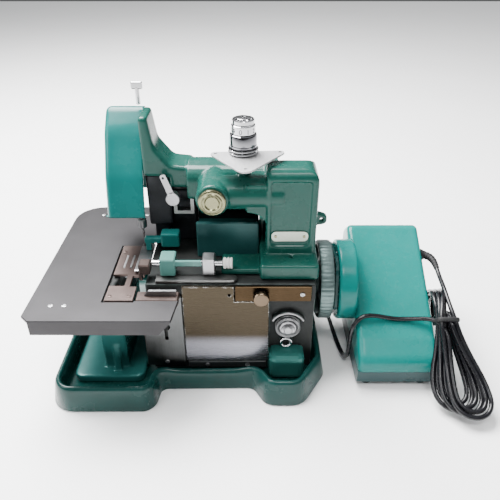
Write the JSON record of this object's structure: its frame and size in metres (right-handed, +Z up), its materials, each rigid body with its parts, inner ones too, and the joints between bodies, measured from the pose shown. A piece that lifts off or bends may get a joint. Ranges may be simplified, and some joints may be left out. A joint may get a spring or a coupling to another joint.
{
  "type": "serger overlock machine",
  "caption": "Portable overlock sewing machine on a green tray, with cloth plate, head, tension unit, handwheel, belt guard, motor box and a hanked mains cord.",
  "frame": {"origin": "centre of the footprint at floor level, without the cord", "axes": "+X from the cloth plate to the motor box, +Y to the back, +Z up"},
  "size_m": [0.3963, 0.2261, 0.2525],
  "materials": {
    "green_enamel": "glossy green enamel",
    "teal_enamel": "glossy lighter green enamel",
    "dark_casting": "dark machined casting",
    "brushed_panel": "brushed, slightly reflective",
    "plate_steel": "satin grey",
    "bronze_steel": "dark brown steel",
    "bright_chrome": "polished",
    "plug_brass": "dull brass",
    "nut_white": "white",
    "badge_silver": "blank, satin",
    "black_rubber": "matte",
    "black_cable": "glossy black sheath"
  },
  "bodies": {
    "machine": {"base_tray": "green_enamel", "cloth_plate": "plate_steel", "plate_bracket": "green_enamel", "machine_frame": "dark_casting", "top_strip": "brushed_panel", "hinge_bar": "dark_casting", "side_panel": "plate_steel", "arm_casting": "green_enamel", "boss_plug": "plug_brass", "rear_panel": "green_enamel", "badge": "badge_silver", "head_cover": "teal_enamel", "drive_housing": "dark_casting", "thread_bracket": "bright_chrome", "needle_plate": "bronze_steel", "lower_knife_holder": "dark_casting", "lower_knife": "bright_chrome", "slide_plate": "brushed_panel", "clamp_block_left": "teal_enamel", "clamp_block_right": "brushed_panel", "clamp_rod": "bright_chrome", "guide_plate": "brushed_panel", "tension_post": "bright_chrome", "tension_disc_lower": "bright_chrome", "tension_disc_upper": "bright_chrome", "tension_sleeve": "bright_chrome", "belt_guard": "teal_enamel", "guard_flange": "green_enamel", "drive_belt": "black_rubber", "motor_cover": "teal_enamel", "motor_pan": "green_enamel", "motor_foot_fl": "black_rubber", "motor_foot_fr": "black_rubber", "motor_foot_bl": "black_rubber", "motor_foot_br": "black_rubber", "motor": "dark_casting", "cord_gland": "black_rubber", "cord_lead": "black_cable", "cord_tail": "black_cable", "cord_hank": "black_cable", "cord_plug": "black_cable"},
    "cover": {"front_cover": "brushed_panel"},
    "knob": {"cover_knob": "bright_chrome"},
    "lever": {"panel_lever": "brushed_panel"},
    "dial": {"stitch_dial": "brushed_panel"},
    "needle_unit": {"needle_bar": "bright_chrome", "needle_clamp": "brushed_panel", "needle": "bright_chrome"},
    "take_up": {"take_up_lever": "bright_chrome"},
    "presser": {"presser_arm": "teal_enamel", "presser_foot": "brushed_panel"},
    "knife": {"upper_knife": "bronze_steel"},
    "feed": {"feed_dog": "brushed_panel"},
    "nut": {"clamp_nut": "nut_white"},
    "pressure": {"pressure_screw": "bright_chrome"},
    "tension": {"tension_dial": "bright_chrome"},
    "wheel": {"handwheel": "plate_steel", "main_shaft": "brushed_panel", "main_pulley": "dark_casting"},
    "motor_drive": {"motor_pulley": "brushed_panel"}
  },
  "joints": [
    {"name": "cover_hinge", "type": "hinge", "parent": "machine", "child": "cover", "pos_m": [0, -0.0605, 0.0222], "axis": [1, 0, 0], "range_deg": [0, 70]},
    {"name": "knob_turn", "type": "hinge", "parent": "machine", "child": "knob", "pos_m": [0.0145, -0.0605, 0.097], "axis": [0, 1, 0], "continuous": true},
    {"name": "lever_pivot", "type": "hinge", "parent": "machine", "child": "lever", "pos_m": [-0.0645, -0.0605, 0.085], "axis": [0, 1, 0], "range_deg": [-25, 20]},
    {"name": "stitch_dial_turn", "type": "hinge", "parent": "machine", "child": "dial", "pos_m": [0.039, -0.0523, 0.0585], "axis": [0, 1, 0], "range_deg": [-150, 150]},
    {"name": "needle_stroke", "type": "slide", "parent": "machine", "child": "needle_unit", "axis": [0, 0, 1], "range_m": [-0.012, 0]},
    {"name": "take_up_swing", "type": "hinge", "parent": "machine", "child": "take_up", "pos_m": [-0.063, -0.002, 0.1605], "axis": [0, 1, 0], "range_deg": [0, 25.5]},
    {"name": "presser_lift", "type": "slide", "parent": "machine", "child": "presser", "axis": [0, 0, 1], "range_m": [0, 0.005]},
    {"name": "knife_stroke", "type": "slide", "parent": "machine", "child": "knife", "axis": [0, 0, 1], "range_m": [-0.0031, 0]},
    {"name": "feed_stroke", "type": "slide", "parent": "machine", "child": "feed", "axis": [0, 0, 1], "range_m": [-0.0021, 0]},
    {"name": "nut_turn", "type": "hinge", "parent": "machine", "child": "nut", "pos_m": [-0.014, -0.042, 0.118], "axis": [1, 0, 0], "continuous": true},
    {"name": "pressure_turn", "type": "hinge", "parent": "machine", "child": "pressure", "pos_m": [-0.0925, 0.036, 0.233], "axis": [0, 0, 1], "continuous": true},
    {"name": "tension_turn", "type": "hinge", "parent": "machine", "child": "tension", "pos_m": [-0.0005, -0.01, 0.2238], "axis": [0, 0, 1], "range_deg": [-180, 180]},
    {"name": "handwheel_turn", "type": "hinge", "parent": "machine", "child": "wheel", "pos_m": [0.075, -0.001, 0.073], "axis": [1, 0, 0], "continuous": true},
    {"name": "motor_turn", "type": "hinge", "parent": "machine", "child": "motor_drive", "pos_m": [0.096, 0.023, 0.038], "axis": [1, 0, 0], "continuous": true}
  ],
  "couplings": [
    {"joint": "take_up_swing", "follows": "needle_stroke", "rad_per_m": -36.36},
    {"joint": "knife_stroke", "follows": "needle_stroke", "ratio": 0.25},
    {"joint": "feed_stroke", "follows": "needle_stroke", "ratio": 0.1667},
    {"joint": "motor_turn", "follows": "handwheel_turn", "ratio": 2.8889}
  ]
}
